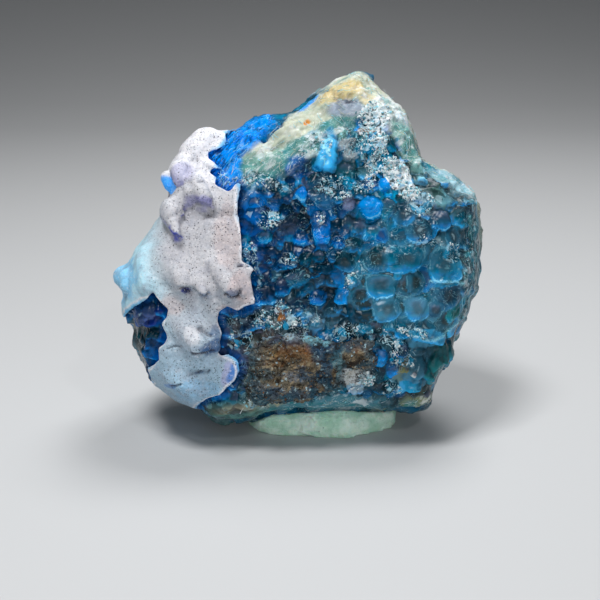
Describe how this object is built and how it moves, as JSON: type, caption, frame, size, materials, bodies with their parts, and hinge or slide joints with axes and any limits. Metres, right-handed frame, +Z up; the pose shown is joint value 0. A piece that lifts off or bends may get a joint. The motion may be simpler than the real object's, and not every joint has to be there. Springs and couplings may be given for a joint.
{
  "type": "allophane mineral specimen",
  "caption": "Hand-sized mineral specimen: translucent blue allophane with packed rounded cells, a white porcelain-like crust and brown iron-oxide rock, standing in a lump of pale green putty",
  "frame": {"origin": "centre of the bounding box's bottom, on the putty's flat underside, where the specimen stands", "axes": "+Z up, +X to the right as seen from the front, +Y from the front face to the back; the blue face with the white crust at its left looks along -Y"},
  "size_m": [0.0451, 0.0276, 0.0425],
  "materials": {
    "blue_allophane": "glassy",
    "white_crust": "matte porcelain",
    "brown_matrix": "rough",
    "putty": "matte"
  },
  "bodies": {
    "root": {"blue_allophane": "blue_allophane", "white_crust": "white_crust", "brown_matrix": "brown_matrix", "putty": "putty"}
  },
  "joints": []
}
